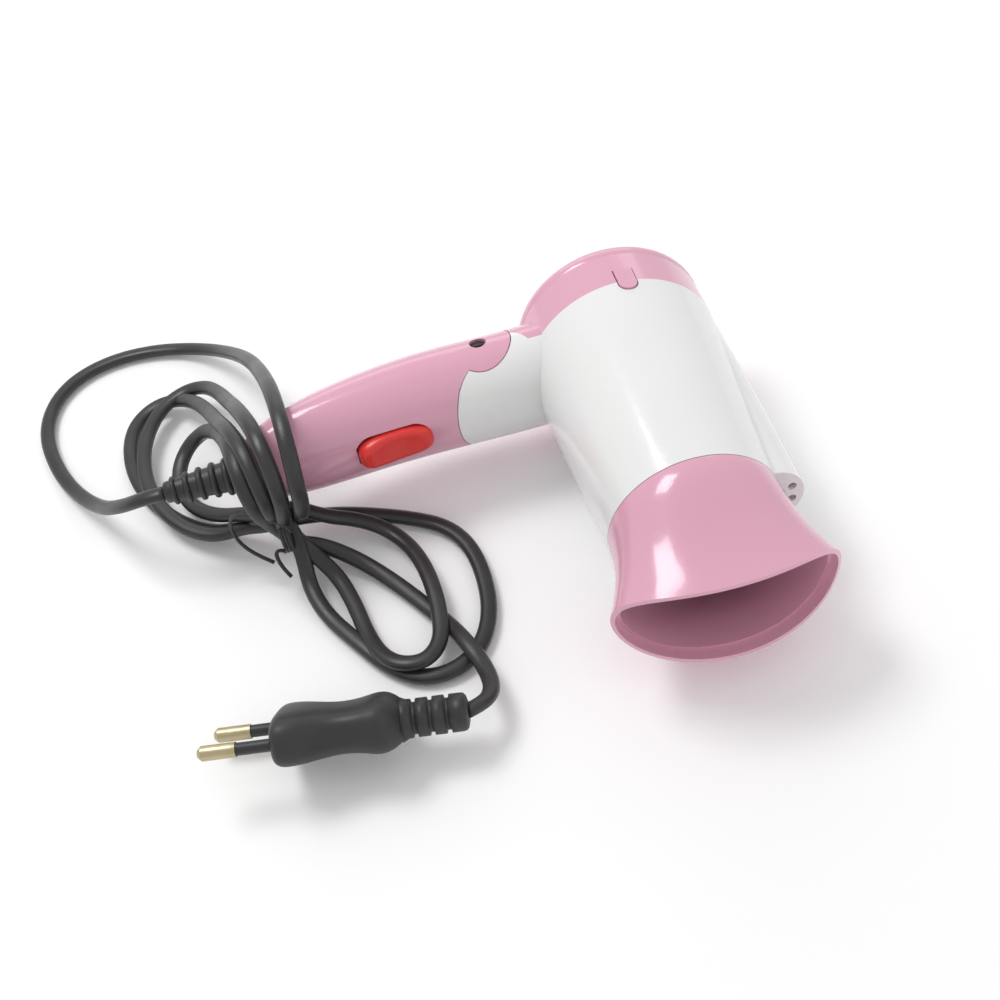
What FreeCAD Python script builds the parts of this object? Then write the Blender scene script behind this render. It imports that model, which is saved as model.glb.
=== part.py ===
import FreeCAD, Part
import math
import os

# Folding hair dryer lying on its flank. Millimetres.
# The barrel axis runs along Y at x = 0: the nozzle points to -Y and the intake to +Y.
# The handle points to -X. The dryer's mirror plane is horizontal, AXIS_Z above the surface.
V = FreeCAD.Vector

# ---- driving dimensions -------------------------------------------------------------------
AXIS_Z = 29.3            # height of the mirror plane over the surface
REAR_R = 29.0            # barrel radius where the white shell meets the pink cover (y = 0)
FRONT_R = 24.4           # barrel radius where the shell meets the nozzle
SHELL_FRONT_Y = -68.3
COVER_REAR_Y = 18.6
WALL = 2.0               # barrel wall
HANDLE_WALL = 1.8

COLLAR_R = 21.5          # collar that the nozzle turns on
COLLAR_BORE_R = 19.9
COLLAR_FRONT_Y = -74.6
RUNNING_FIT = 0.08       # radial clearance of a turning fit

MOUTH_HALF_WIDTH = 31.2  # outlet mouth of the nozzle
MOUTH_CORNER_Y = -93.6   # where the lips meet at the sides
LIP_BULGE = 10.4         # how far the lips stand forward of the corners
LIP_WALL = 2.2

PIVOT_X, PIVOT_Y = -42.0, 4.0   # handle hinge
LUG_R = 10.0
DRUM_R = 12.9                   # round end of the neck between the lugs
LUG_INNER = 11.5                # lugs fill everything further than this from the mirror plane
JOINT_GAP = 0.3
BACK_FACE_X = -30.4             # the folded handle's back face stays clear of this

SWITCH_X, SWITCH_PIVOT_Y = -73.0, -8.0
ROCKER_TILT = 7.0               # degrees each side of the middle position

RELIEF_Y = -6.9                 # axis of the strain relief, along X
RELIEF_START_X, RELIEF_END_X = -116.0, -141.0

CORD_D = 4.4
PIN_SPACING = 18.6
PIN_R = 2.0
ORIGIN = V(55.0, 41.8, 0)       # moves everything so that the dryer's middle is at x = y = 0

# Stem: neck and handle share one outline. Each station is x, centre y, half depth, half width.
STEM = [
    (-18.0, 1.8, 13.4, 17.0),
    (-31.0, 1.8, 13.4, 16.9),
    (-53.0, 1.8, 13.4, 16.9),
    (-70.0, 1.2, 13.1, 16.6),
    (-86.0, -0.8, 12.2, 16.0),
    (-100.0, -3.3, 10.7, 14.8),
    (-110.0, -5.4, 8.9, 12.2),
    (-116.0, -6.8, 6.9, 8.7),
]
# Flare where the neck grows out of the barrel.
FLARE = [
    (-35.0, 1.8, 12.8, 16.3),
    (-31.0, 1.7, 13.6, 17.1),
    (-28.0, 1.2, 14.5, 17.4),
    (-25.5, 0.2, 15.9, 17.8),
    (-22.0, -1.7, 18.2, 18.2),
]
# Nozzle: y, half width, half height of the outside.
NOZZLE = [
    (-68.6, 24.4, 24.39),
    (-75.0, 24.9, 23.6),
    (-82.0, 26.3, 20.6),
    (-90.0, 29.3, 17.6),
    (-98.0, 33.2, 15.9),
    (-107.0, 38.4, 15.2),
]

# Free cord, points of its centre line.
CORD_LEAD = [
    (-141.0, RELIEF_Y, AXIS_Z), (-147.0, RELIEF_Y, AXIS_Z), (-155.5, -0.5, 21.5), (-166.0, 15.0, 10.0),
    (-176.0, 30.5, 3.6), (-182.5, 46.0, 2.3), (-185.5, 62.5, 2.4), (-183.0, 78.0, 2.3),
    (-175.0, 88.5, 2.4), (-162.0, 93.0, 2.3), (-147.0, 92.5, 2.4), (-132.0, 87.0, 3.2),
    (-119.5, 73.5, 9.0), (-110.0, 49.5, 23.0), (-103.5, 16.0, 42.0), (-100.0, -4.0, 50.5),
    (-99.0, -17.0, 48.5), (-99.0, -25.0, 40.5), (-101.0, -26.0, 30.0), (-105.0, -20.0, 20.5),
    (-110.0, -13.0, 14.0),
]
CORD_TAIL = [
    (-69.0, -68.0, 4.5), (-64.8, -77.5, 4.6), (-62.6, -86.0, 6.5), (-63.8, -92.5, 9.5),
    (-67.2, -96.6, 12.4), (-72.5, -97.7, 13.6),
]
TIE = V(-112.5, -11.0, 10.5)    # where the hank is tied
PLUG_START = V(-72.0, -97.8, 13.6)
PLUG_YAW = 170.6                # direction of the pins in plan
PLUG_ROLL = 43.0                # the flat plug leans on its edge


# ---- helpers --------------------------------------------------------------------------------
def centre(x, y):
    return V(x, y, AXIS_Z)


def barrelRadius(y):
    share = y / SHELL_FRONT_Y
    return REAR_R + (FRONT_R - REAR_R) * share


def revolveBarrel(profile):
    """Solid of revolution about the barrel axis from (radius, y) corners."""
    points = [centre(r, y) for r, y in profile]
    wire = Part.makePolygon(points + points[:1])
    return Part.Face(wire).revolve(centre(0, 0), V(0, 1, 0), 360)


def tubeY(outer, inner, y0, y1):
    return revolveBarrel([(inner, y0), (outer, y0), (outer, y1), (inner, y1)])


def rodY(r, y0, y1, x=0.0, z=AXIS_Z):
    return Part.makeCylinder(r, y1 - y0, V(x, y0, z), V(0, 1, 0))


def rodZ(r, x, y, z0, z1):
    return Part.makeCylinder(r, z1 - z0, V(x, y, z0), V(0, 0, 1))


def rodX(r, x0, x1, y, z=AXIS_Z):
    return Part.makeCylinder(r, x1 - x0, V(x0, y, z), V(1, 0, 0))


def block(x0, x1, y0, y1, z0, z1):
    return Part.makeBox(x1 - x0, y1 - y0, z1 - z0, V(x0, y0, z0))


def prism(points, z0, z1):
    corners = [V(x, y, z0) for x, y in points]
    return Part.Face(Part.makePolygon(corners + corners[:1])).extrude(V(0, 0, z1 - z0))


def ellipseWire(middle, major, minor):
    return Part.Wire([Part.Ellipse(middle + major, middle + minor, middle).toShape()])


def stemLoft(stations, inset=0.0):
    wires = []
    for x, y, depth, width in stations:
        middle = centre(x, y)
        wires.append(ellipseWire(middle, V(0, 0, width - inset), V(0, depth - inset, 0)))
    return Part.makeLoft(wires, True, False)


def nozzleLoft(stations, inset=0.0):
    wires = []
    for y, halfWidth, halfHeight in stations:
        middle = centre(0, y)
        wires.append(ellipseWire(middle, V(halfWidth - inset, 0, 0), V(0, 0, halfHeight - inset)))
    return Part.makeLoft(wires, True, False)


def cordTube(points, diameter, name):
    """Straight runs joined by tangent arcs, swept with a round section."""
    pts = [V(*p) for p in points]
    edges = []
    start = pts[0]
    length = 0.0
    radii = []
    for before, here, after in zip(pts, pts[1:], pts[2:]):
        back = before - here
        ahead = after - here
        run = min(back.Length, ahead.Length)
        turn = math.pi - back.getAngle(ahead)
        trim = 0.45 * run
        radius = trim / math.tan(turn / 2)
        enter = here + V(back).normalize() * trim
        leave = here + V(ahead).normalize() * trim
        bisector = (V(back).normalize() + V(ahead).normalize()).normalize()
        middle = here + bisector * (radius / math.cos(turn / 2) - radius)
        edges.append(Part.LineSegment(start, enter).toShape())
        edges.append(Part.Arc(enter, middle, leave).toShape())
        length += start.distanceToPoint(enter) + radius * turn
        radii.append(round(radius, 1))
        start = leave
    edges.append(Part.LineSegment(start, pts[-1]).toShape())
    length += start.distanceToPoint(pts[-1])
    spine = Part.Wire(edges)
    section = Part.Wire([Part.Circle(pts[0], pts[1] - pts[0], diameter / 2).toShape()])
    tube = spine.makePipeShell([section], True, True)
    area = math.pi * diameter ** 2 / 4
    print(name, "length", round(length, 1), "volume ratio", round(tube.Volume / (area * length), 4))
    print(name, "radii", radii)
    return tube


def mirrored(shape):
    """The same shape on the other side of the mirror plane."""
    return shape.mirror(centre(0, 0), V(0, 0, 1))


def aroundBarrel(shape, count, first=0.0):
    copies = []
    for i in range(count):
        copy = shape.copy()
        copy.rotate(centre(0, 0), V(0, 1, 0), first + 360.0 * i / count)
        copies.append(copy)
    return copies


def fuseAll(shapes):
    return shapes[0].multiFuse(shapes[1:]).removeSplitter()


# ---- hinge line between neck and handle --------------------------------------------------------
def pivotPoint(radius, degrees):
    angle = math.radians(degrees)
    return V(PIVOT_X + radius * math.cos(angle), PIVOT_Y + radius * math.sin(angle), 0)


def extrudeLoop(edges, z0, z1):
    face = Part.Face(Part.Wire(edges))
    face.translate(V(0, 0, z0))
    return face.extrude(V(0, 0, z1 - z0))


def line(a, b):
    return Part.LineSegment(a, b).toShape()


def arc(a, b, c):
    return Part.Arc(a, b, c).toShape()


def handleSide(lugR, drumR, shift):
    """Everything on the handle's side of the hinge line: lug plates outside, hollow core inside."""
    frontX = -53.8 + shift
    corner = V(frontX, -12.4, 0)
    bend = V(-50.9 + shift, -8.6, 0)
    lugStart = pivotPoint(lugR, 242.0)
    drumStart = pivotPoint(drumR, 235.0 - 3.7 * (drumR - DRUM_R))
    far = [V(-170, 40, 0), V(-170, -40, 0), V(frontX, -40, 0)]
    lugTop = pivotPoint(lugR, 90.0)
    skin = [
        arc(lugStart, pivotPoint(lugR, 346.0), lugTop),
        line(lugTop, V(PIVOT_X, 40, 0)),
        line(V(PIVOT_X, 40, 0), far[0]),
        line(far[0], far[1]),
        line(far[1], far[2]),
        line(far[2], corner),
        arc(corner, bend, lugStart),
    ]
    drumTop = pivotPoint(drumR, 122.0)
    core = [
        arc(drumStart, pivotPoint(drumR, 180.0), drumTop),
        line(drumTop, V(drumTop.x, 40, 0)),
        line(V(drumTop.x, 40, 0), far[0]),
        line(far[0], far[1]),
        line(far[1], far[2]),
        line(far[2], corner),
        line(corner, drumStart),
    ]
    return skin, core


def handleSideSolid(lugR, drumR, shift, inner):
    skin, core = handleSide(lugR, drumR, shift)
    top = extrudeLoop(skin, AXIS_Z + inner, AXIS_Z + 40)
    bottom = extrudeLoop(skin, AXIS_Z - 40, AXIS_Z - inner)
    middle = extrudeLoop(core, AXIS_Z - inner, AXIS_Z + inner)
    return top.fuse([bottom, middle])


def foldPath():
    """Room behind the hinge that the handle's back wall sweeps through."""
    return block(-70, BACK_FACE_X, PIVOT_Y + 1, 45, -10, 70).cut(
        rodZ(DRUM_R, PIVOT_X, PIVOT_Y, -11, 71))


# ---- barrel ---------------------------------------------------------------------------------
def finLoft(crestInset=0.0, widthInset=0.0, stations=None):
    """Hollow ridge along the top of the barrel (+X), low at the rear and tall at the front."""
    wires = []
    for y, baseX, crestX, halfWidth in stations:
        base = baseX - crestInset
        a = V(base, y, AXIS_Z - halfWidth + widthInset)
        b = V(crestX - crestInset, y, AXIS_Z)
        c = V(base, y, AXIS_Z + halfWidth - widthInset)
        wires.append(Part.Wire([arc(a, b, c), line(c, a)]))
    return Part.makeLoft(wires, True, False)


FIN = [(1.0, 24.6, 29.0, 13.2), (-22.0, 23.0, 30.4, 12.4), (-45.0, 21.4, 31.0, 10.6),
       (SHELL_FRONT_Y + 0.6, 20.2, 31.0, 9.4)]
FIN_HOLLOW = [(-12.0, 23.6, 29.6, 12.2), (-34.0, 22.0, 30.8, 11.4), (-62.0, 20.4, 31.0, 9.6)]


def outerBarrel():
    cone = revolveBarrel([(0, 0), (REAR_R, 0), (FRONT_R, SHELL_FRONT_Y), (0, SHELL_FRONT_Y)])
    rim = Part.Wire([
        line(centre(0, 0), centre(REAR_R, 0)),
        line(centre(REAR_R, 0), centre(REAR_R - 0.3, 13.0)),
        arc(centre(REAR_R - 0.3, 13.0), centre(REAR_R - 1.1, 17.2), centre(REAR_R - 3.0, COVER_REAR_Y)),
        line(centre(REAR_R - 3.0, COVER_REAR_Y), centre(0, COVER_REAR_Y)),
        line(centre(0, COVER_REAR_Y), centre(0, 0)),
    ])
    cap = Part.Face(rim).revolve(centre(0, 0), V(0, 1, 0), 360)
    fin = finLoft(stations=FIN)
    neck = stemLoft(STEM)
    return fuseAll([cone, cap, fin, neck, stemLoft(FLARE)])


def barrelHollow():
    front = SHELL_FRONT_Y + WALL
    duct = revolveBarrel([
        (0, 15.0), (REAR_R - WALL - 0.4, 15.0), (REAR_R - WALL, 0), (barrelRadius(front) - WALL, front),
        (COLLAR_BORE_R, front), (COLLAR_BORE_R, SHELL_FRONT_Y - 10), (0, SHELL_FRONT_Y - 10)])
    opening = rodY(24.6, 14.0, 30.0)
    fin = finLoft(1.8, 1.8, FIN_HOLLOW)
    inside = stemLoft(STEM, WALL).common(block(-51.5, -20, -30, 30, AXIS_Z - 9.4, AXIS_Z + 9.4))
    core = inside.common(rodZ(DRUM_R - WALL, PIVOT_X, PIVOT_Y, 0, 60).fuse(
        block(-41, -20, -8.5, PIVOT_Y + 6, 0, 60)))
    core = core.cut(rodZ(3.2, PIVOT_X, PIVOT_Y, 0, 60))
    return duct.fuse([opening, fin, core])


def coverSide():
    """The pink cover's share of the outline, with its tail down to the hinge lug."""
    return prism([(60, 0), (-27.6, 0), (-29.2, 2.6), (-31.4, 4.6), (-34.0, 5.4), (-34.0, 60), (60, 60)],
                 -20, 90)


def clipCutter(grow):
    """Round-ended tab over the cover's front edge, on the flank that faces up."""
    half = 2.7 + grow
    y0 = -3.6 - grow
    tab = block(-half, half, y0 + half, 5.2 + grow, AXIS_Z, 70)
    tab = tab.fuse(rodZ(half, 0, y0 + half, AXIS_Z, 70))
    tab.translate(V(3.2, 0, 0))
    return tab


def clipShell(inner, outer):
    return tubeY(outer, inner, -8, 9)


def makeBarrel():
    shell = outerBarrel().cut(barrelHollow())
    cutter = handleSideSolid(LUG_R, DRUM_R, 0.0, LUG_INNER - JOINT_GAP)
    shell = shell.cut(cutter).cut(foldPath())
    backGap = rodZ(LUG_R + 0.95, PIVOT_X, PIVOT_Y, AXIS_Z + LUG_INNER - JOINT_GAP, 60)
    backGap = backGap.common(block(PIVOT_X, -28, PIVOT_Y + 4.5, 30, 0, 80))
    shell = shell.cut(backGap).cut(mirrored(backGap))
    screwHole = rodZ(1.2, PIVOT_X, PIVOT_Y, AXIS_Z + 4, AXIS_Z + 14)
    leadHole = rodX(2.6, -58, -50, 0.0)
    slots = clipCutter(0.3).common(clipShell(27.6, 32))
    shell = shell.cut(fuseAll([screwHole, mirrored(screwHole), leadHole, slots, mirrored(slots)]))
    cover = shell.common(coverSide())
    spigot = tubeY(REAR_R - WALL - 0.35, REAR_R - WALL - 2.0, -4.0, 2.0)
    lip = tubeY(REAR_R - WALL + 0.3, REAR_R - WALL - 2.0, 0.0, 2.0)
    spigot = spigot.fuse(lip).cut(block(-40, -20, -10, 10, AXIS_Z - 12, AXIS_Z + 12))
    cover = cover.fuse(spigot)
    white = shell.cut(coverSide())
    collar = tubeY(COLLAR_R, COLLAR_BORE_R, COLLAR_FRONT_Y, SHELL_FRONT_Y + 0.5)
    white = white.fuse(collar)
    ports = [Part.makeCylinder(1.25, 9, V(27.6, SHELL_FRONT_Y - 1, AXIS_Z + side), V(0, 1, 0))
             for side in (-2.4, 2.4)]
    white = white.cut(fuseAll(ports))
    return white, cover.removeSplitter()


def makeCoverClips():
    tab = clipCutter(0.0).common(clipShell(28.0, AXIS_Z))
    return Part.makeCompound([tab, mirrored(tab)])


def makeIntakeGrille():
    seat = tubeY(24.5, 22.6, 15.2, 17.8)
    rings = []
    for radius, rise in ((20.4, 17.0), (16.6, 18.0), (12.8, 18.7), (9.0, 19.2), (5.4, 19.5)):
        rings.append(tubeY(radius + 0.7, radius - 0.7, rise - 1.0, rise + 0.9))
    hub = rodY(2.6, 18.2, 20.4)
    spoke = Part.Face(Part.makePolygon([
        centre(1.0, 18.4), centre(1.0, 19.9), centre(12.0, 19.2), centre(23.2, 17.2),
        centre(23.2, 15.6), centre(12.0, 17.5), centre(1.0, 18.4)]))
    spoke = spoke.extrude(V(0, 0, 1.2))
    spoke.translate(V(0, 0, -0.6))
    return fuseAll([seat, hub] + rings + aroundBarrel(spoke, 8, 11.0))


def makeOutletGrille():
    rim = tubeY(COLLAR_BORE_R, COLLAR_BORE_R - 1.2, -73.6, -70.6)
    rings = [tubeY(r + 0.5, r - 0.5, -73.2, -71.4) for r in (14.4, 10.0, 5.6)]
    spoke = block(1.0, COLLAR_BORE_R - 0.9, -73.2, -71.4, AXIS_Z - 0.5, AXIS_Z + 0.5)
    hub = rodY(1.8, -73.2, -71.4)
    return fuseAll([rim, hub] + rings + aroundBarrel(spoke, 6, 15.0))


# ---- inside the barrel ------------------------------------------------------------------------
def makeHeater():
    sleeve = tubeY(21.5, 21.0, -64.0, -22.0)
    plate = block(-20.8, 20.8, -60.0, -26.0, AXIS_Z - 0.4, AXIS_Z + 0.4)
    upright = plate.copy()
    upright.rotate(centre(0, 0), V(0, 1, 0), 90)
    boardA = plate.cut(block(-0.45, 0.45, -61, -43, 0, 60))
    boardB = upright.cut(block(-3, 3, -43, -25, AXIS_Z - 0.45, AXIS_Z + 0.45))
    turns = 6
    notches = []
    hoops = []
    for i in range(turns):
        y = -56.0 + i * 5.2
        hoop = Part.makeTorus(17.6, 0.55, centre(0, y), V(0, 1, 0))
        hoops.append(hoop)
        notches.append(Part.makeTorus(17.6, 0.65, centre(0, y), V(0, 1, 0)))
    coil = Part.makeCompound(hoops)
    groove = fuseAll(notches)
    return sleeve, boardA.cut(groove), boardB.cut(groove), coil


def makeThermostat():
    base = block(8.2, 15.2, -41.0, -33.0, AXIS_Z + 0.4, AXIS_Z + 2.2)
    blade = block(9.2, 14.2, -49.0, -33.6, AXIS_Z + 2.2, AXIS_Z + 2.6)
    stud = rodZ(1.2, 11.7, -36.5, AXIS_Z + 2.6, AXIS_Z + 3.8)
    contact = rodZ(0.9, 11.7, -47.5, AXIS_Z + 0.4, AXIS_Z + 2.2)
    return fuseAll([base, blade, stud, contact])


def makeThermalFuse():
    body = rodY(1.7, -46.0, -36.5, -11.0, AXIS_Z + 2.15)
    leads = rodY(0.4, -51.5, -31.0, -11.0, AXIS_Z + 2.15)
    return body.fuse(leads)


MOTOR_R = 10.4


def makeMotor():
    can = rodY(MOTOR_R, -19.0, 3.0)
    boss = rodY(3.0, 3.0, 4.6)
    tail = rodY(3.0, -20.4, -19.0)
    body = fuseAll([can, boss, tail])
    return body.cut(rodY(1.06, -30, 10))


def makeMotorMount():
    ring = tubeY(25.6, 24.6, -15.0, -4.4).cut(block(-28, -22, -16, -3, AXIS_Z - 3, AXIS_Z + 3))
    hub = tubeY(12.0, MOTOR_R, -17.0, 1.0)
    vane = block(11.6, 24.9, -14.0, -4.8, AXIS_Z - 0.6, AXIS_Z + 0.6)
    vane.rotate(centre(0, -9.4), V(1, 0, 0), 24)
    vane = vane.cut(rodY(MOTOR_R + 0.5, -20, 5))
    return fuseAll([ring, hub] + aroundBarrel(vane, 5, 0.0))


def makeShaft():
    return rodY(1.0, -20.0, 13.2)


def makeFan():
    hub = revolveBarrel([(0, 5.4), (9.6, 5.4), (9.6, 10.0), (7.6, 12.8), (0, 13.6)])
    hub = hub.cut(revolveBarrel([(0, 5.0), (8.2, 5.0), (8.2, 9.4), (3.0, 9.4), (3.0, 7.0), (0, 7.0)]))
    blade = block(8.6, 24.0, 5.9, 11.9, AXIS_Z - 0.55, AXIS_Z + 0.55)
    blade.rotate(centre(0, 8.9), V(1, 0, 0), 52)
    blade = blade.common(tubeY(23.6, 8.8, 5.0, 13.0))
    wheel = fuseAll([hub] + aroundBarrel(blade, 7, 0.0))
    return wheel.cut(rodY(1.0, 0, 13.2))


def makeRectifier():
    board = rodY(9.2, -24.4, -23.2)
    board = board.cut(rodY(3.2, -26, -22))
    diode = rodY(1.3, -28.6, -24.4, 6.2, AXIS_Z)
    return board, Part.makeCompound(aroundBarrel(diode, 4, 45.0))


def leadPair(points, gap, radius, name):
    pair = []
    for side in (-gap, gap):
        pair.append(cordTube([(x, y, z + side) for x, y, z in points], 2 * radius, name))
    return Part.makeCompound(pair)


def makeNeckLeads():
    return leadPair([(-37.0, -2.2, AXIS_Z), (-30.0, -2.6, AXIS_Z), (-23.4, -8.0, AXIS_Z),
                     (-23.2, -19.0, AXIS_Z)], 1.2, 0.7, "neck_leads")


# ---- nozzle -------------------------------------------------------------------------------------
def makeNozzle():
    outer = nozzleLoft(NOZZLE)
    bulgeR = (MOUTH_HALF_WIDTH ** 2 + LIP_BULGE ** 2) / (2 * LIP_BULGE)
    lips = rodZ(bulgeR, 0, MOUTH_CORNER_Y - LIP_BULGE + bulgeR, -10, 70)
    outer = outer.common(lips.fuse(block(-60, 60, MOUTH_CORNER_Y, -60, -10, 70)))
    shoulder = COLLAR_FRONT_Y - 0.4
    seat = rodY(COLLAR_R + RUNNING_FIT, shoulder, -60)
    duct = [(shoulder + 1.0, 20.4, 20.39), (-79.0, 22.2, 19.8)]
    duct += [(y, w - LIP_WALL, h - LIP_WALL) for y, w, h in NOZZLE if y < -80]
    inside = nozzleLoft(duct)
    step = [(y, w - LIP_WALL + 0.8, h - LIP_WALL + 0.8) for y, w, h in NOZZLE if y < -80]
    mouth = nozzleLoft(step).cut(lips.translated(V(0, 3.6, 0)))
    mouth = mouth.common(block(-60, 60, -120, MOUTH_CORNER_Y + 1.5, -10, 70))
    return outer.cut(seat).cut(inside).cut(mouth).removeSplitter()


# ---- handle -------------------------------------------------------------------------------------
HANDLE_SCREWS = [(-58.2, 4.6), (-93.0, 2.6)]
CLAMP_SCREW = (-104.5, -0.6)


def switchWindow(halfLength, halfWidth, endRadius, y0, y1):
    """Oval across the handle's front, its ends rounded about the rocker's pivot."""
    straight = halfLength - halfWidth
    oval = block(SWITCH_X - straight, SWITCH_X + straight, y0, y1, AXIS_Z - halfWidth, AXIS_Z + halfWidth)
    for side in (-straight, straight):
        oval = oval.fuse(rodY(halfWidth, y0, y1, SWITCH_X + side))
    return oval.common(rodZ(endRadius, SWITCH_X, SWITCH_PIVOT_Y, 0, 60)).removeSplitter()


def makeHandleHalves():
    whole = stemLoft(STEM).common(handleSideSolid(LUG_R - JOINT_GAP, DRUM_R + JOINT_GAP, -JOINT_GAP, LUG_INNER))
    hollow = stemLoft(STEM, HANDLE_WALL).common(block(-113.2, -50.0, -30, 30, 0, 60))
    keepLugs = prism([(-54.5, -40), (-20, -40), (-20, 40), (-54.5, 40)], AXIS_Z + LUG_INNER, 70)
    hollow = hollow.cut(fuseAll([keepLugs, mirrored(keepLugs)]))
    whole = whole.cut(hollow)
    window = switchWindow(11.8, 5.7, 12.0, -22.0, -7.4)
    exitHole = rodX(4.2, -125, -108, RELIEF_Y)
    pivotHole = rodZ(1.75 + 0.05, PIVOT_X, PIVOT_Y, -5, 65)
    heads = rodZ(2.5, PIVOT_X, PIVOT_Y, AXIS_Z + 13.6, 65)
    whole = whole.cut(fuseAll([window, exitHole, pivotHole, heads, mirrored(heads)]))
    inside = stemLoft(STEM, HANDLE_WALL - 0.4)
    bosses = []
    for x, y in HANDLE_SCREWS:
        bosses.append(rodZ(3.2, x, y, 0, 60).common(inside))
    whole = whole.fuse(fuseAll(bosses))
    upper = whole.common(block(-130, 0, -40, 40, AXIS_Z, 70))
    lower = whole.common(block(-130, 0, -40, 40, -10, AXIS_Z))
    x, y = CLAMP_SCREW
    post = rodZ(2.1, x, y, 0, AXIS_Z + 2.4).common(inside)
    lower = lower.fuse(post).cut(rodZ(0.9, x, y, AXIS_Z - 6, 60))
    for x, y in HANDLE_SCREWS:
        upper = upper.cut(rodZ(1.2, x, y, AXIS_Z - 1, AXIS_Z + 9))
        lower = lower.cut(rodZ(1.5, x, y, -10, AXIS_Z + 1)).cut(rodZ(2.8, x, y, -10, AXIS_Z - 9))
    return upper, lower


def makeHandleScrews():
    screws = []
    for x, y in HANDLE_SCREWS:
        head = rodZ(2.6, x, y, AXIS_Z - 10.8, AXIS_Z - 9.0)
        slot = block(x - 2.0, x + 2.0, y - 0.35, y + 0.35, AXIS_Z - 11, AXIS_Z - 10)
        screws.append(head.cut(slot).fuse(rodZ(1.2, x, y, AXIS_Z - 9.0, AXIS_Z + 8.0)))
    return Part.makeCompound(screws)


def makeHingeScrews():
    head = rodZ(2.3, PIVOT_X, PIVOT_Y, AXIS_Z + 13.7, AXIS_Z + 15.0)
    slot = block(PIVOT_X - 1.8, PIVOT_X + 1.8, PIVOT_Y - 0.35, PIVOT_Y + 0.35, AXIS_Z + 14.3, AXIS_Z + 16)
    shoulder = rodZ(1.75, PIVOT_X, PIVOT_Y, AXIS_Z + LUG_INNER - JOINT_GAP, AXIS_Z + 13.7)
    thread = rodZ(1.2, PIVOT_X, PIVOT_Y, AXIS_Z + 5.0, AXIS_Z + LUG_INNER - JOINT_GAP)
    screw = fuseAll([head.cut(slot), shoulder, thread])
    return Part.makeCompound([screw, mirrored(screw)])


def makeRocker():
    cap = switchWindow(11.3, 5.25, 11.6, -16.4, -10.2)
    crown = rodX(6.6, SWITCH_X - 20, SWITCH_X + 20, -9.3)
    cap = cap.common(crown)
    cap = cap.cut(rodZ(34.0, SWITCH_X, -14.4 - 34.0, 0, 60))
    rib = block(SWITCH_X - 1.6, SWITCH_X + 1.6, -10.6, -6.4, AXIS_Z - 2.4, AXIS_Z + 2.4)
    trunnion = rodZ(1.1, SWITCH_X, SWITCH_PIVOT_Y, AXIS_Z - 4.3, AXIS_Z + 4.3)
    rocker = fuseAll([cap, rib, trunnion])
    rocker.rotate(centre(SWITCH_X, SWITCH_PIVOT_Y), V(0, 0, 1), ROCKER_TILT)
    return rocker


def makeSwitchBody():
    case = block(SWITCH_X - 9.0, SWITCH_X + 9.0, -5.6, 5.0, AXIS_Z - 6.0, AXIS_Z + 6.0)
    ear = block(SWITCH_X - 2.4, SWITCH_X + 2.4, -9.4, -5.6, AXIS_Z + 2.7, AXIS_Z + 4.6)
    ears = ear.fuse(mirrored(ear)).cut(rodZ(1.1 + RUNNING_FIT, SWITCH_X, SWITCH_PIVOT_Y, 0, 60))
    tabs = [block(SWITCH_X + dx - 1.2, SWITCH_X + dx + 1.2, 5.0, 8.6, AXIS_Z - 0.4, AXIS_Z + 0.4)
            for dx in (-6.0, 0.0, 6.0)]
    return fuseAll([case, ears] + tabs)


def makeHandleLeads():
    return leadPair([(-98.0, -4.6, AXIS_Z), (-91.0, -4.0, AXIS_Z), (-85.5, 5.6, AXIS_Z),
                     (-78.0, 9.8, AXIS_Z), (-69.0, 10.6, AXIS_Z), (-61.0, 9.9, AXIS_Z)],
                    1.1, 0.8, "handle_leads")


def makeStrainRelief():
    flange = rodX(5.0, -112.6, -110.6, RELIEF_Y)
    sleeve = rodX(4.2, RELIEF_START_X, -112.6, RELIEF_Y)
    length = RELIEF_START_X - RELIEF_END_X
    cone = Part.makeCone(4.9, 3.2, length, V(RELIEF_START_X, RELIEF_Y, AXIS_Z), V(-1, 0, 0))
    ribs = []
    for i in range(4):
        x = RELIEF_START_X - 1.6 - 3.6 * i
        ribs.append(rodX(5.7 - 0.35 * i, x - 1.8, x, RELIEF_Y))
    boot = fuseAll([flange, sleeve, cone] + ribs)
    return boot.cut(rodX(CORD_D / 2, -142, -109, RELIEF_Y))


def makeInnerCord():
    return rodX(CORD_D / 2, RELIEF_END_X, -99.0, RELIEF_Y)


def makeCordClamp():
    x, y = CLAMP_SCREW
    bar = block(x - 2.2, x + 2.2, -10.4, 2.0, AXIS_Z + 2.4, AXIS_Z + 4.2)
    return bar.cut(rodZ(0.9, x, y, AXIS_Z, AXIS_Z + 6))


def makeClampScrew():
    x, y = CLAMP_SCREW
    return rodZ(0.9, x, y, AXIS_Z - 5.0, AXIS_Z + 4.2).fuse(rodZ(1.7, x, y, AXIS_Z + 4.2, AXIS_Z + 5.4))


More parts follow.
